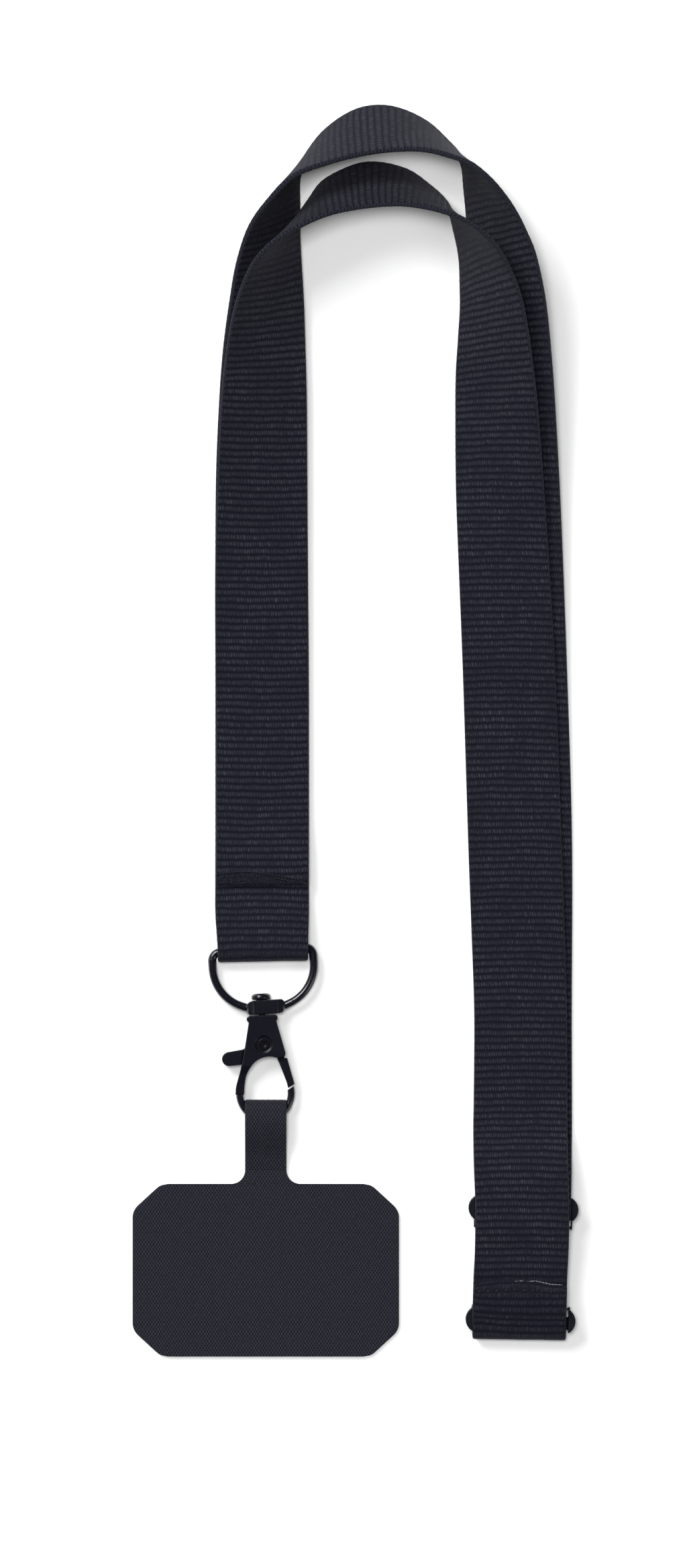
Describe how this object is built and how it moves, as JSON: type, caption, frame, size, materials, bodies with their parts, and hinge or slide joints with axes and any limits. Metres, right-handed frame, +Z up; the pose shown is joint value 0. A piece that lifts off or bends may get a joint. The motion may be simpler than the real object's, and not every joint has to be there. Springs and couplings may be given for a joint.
{
  "type": "phone lanyard with swivel clasp and phone patch",
  "caption": "Webbing neck lanyard with a D-ring, swivel lobster clasp, cloth phone tether patch and a breakaway buckle, laid flat with its neck end standing on edge.",
  "frame": {"origin": "middle of the outline, on the table that it lies on", "axes": "+Y towards the neck arch, +Z up from the table, +X from the clasp leg to the buckle leg"},
  "size_m": [0.0949, 0.2665, 0.0209],
  "materials": {
    "webbing": "matte ribbed polyester webbing",
    "thread": "matte bonded sewing thread",
    "buckle_plastic": "satin moulded acetal",
    "black_metal": "semi-gloss black coated zinc casting",
    "rivet_metal": "satin black",
    "spring_steel": "bare spring steel",
    "patch_cloth": "matte coated plain weave",
    "patch_lining": "matte fine weave",
    "stiffener_film": "matte film"
  },
  "bodies": {
    "straps": {"front_strap": "webbing", "rear_strap": "webbing", "ring_seam_stitching": "thread", "front_seam_stitching": "thread", "rear_seam_stitching": "thread", "buckle_socket": "buckle_plastic"},
    "ring": {"d_ring": "black_metal"},
    "clasp": {"clasp_body": "black_metal", "swivel_post": "black_metal", "gate_rivet": "rivet_metal", "gate_spring": "spring_steel"},
    "gate": {"gate_lever": "black_metal"},
    "patch": {"patch_face": "patch_cloth", "patch_back": "patch_lining", "patch_stiffener": "stiffener_film"},
    "plug": {"buckle_plug": "buckle_plastic"}
  },
  "joints": [
    {"name": "ring_tilt", "type": "hinge", "parent": "straps", "child": "ring", "pos_m": [-0.01985, -0.0465, 0.00245], "axis": [0.9981, 0.0611, 0], "range_deg": [-100, 100]},
    {"name": "clasp_swivel", "type": "hinge", "parent": "ring", "child": "clasp", "pos_m": [-0.0199, -0.0604, 0.00245], "axis": [-0.0523, 0.9986, 0], "continuous": true},
    {"name": "gate_press", "type": "hinge", "parent": "clasp", "child": "gate", "pos_m": [-0.01958, -0.06659, 0.00245], "axis": [0, 0, -1], "range_deg": [0, 25], "stiffness_Nm_per_rad": 0.004, "springref_deg": -17.19},
    {"name": "patch_swing", "type": "hinge", "parent": "clasp", "child": "patch", "pos_m": [-0.01912, -0.0807, 0.00245], "axis": [1, 0, 0], "range_deg": [-35, 35]},
    {"name": "breakaway_pull", "type": "slide", "parent": "straps", "child": "plug", "axis": [0.0262, 0.9997, 0], "range_m": [0, 0.0012]}
  ]
}
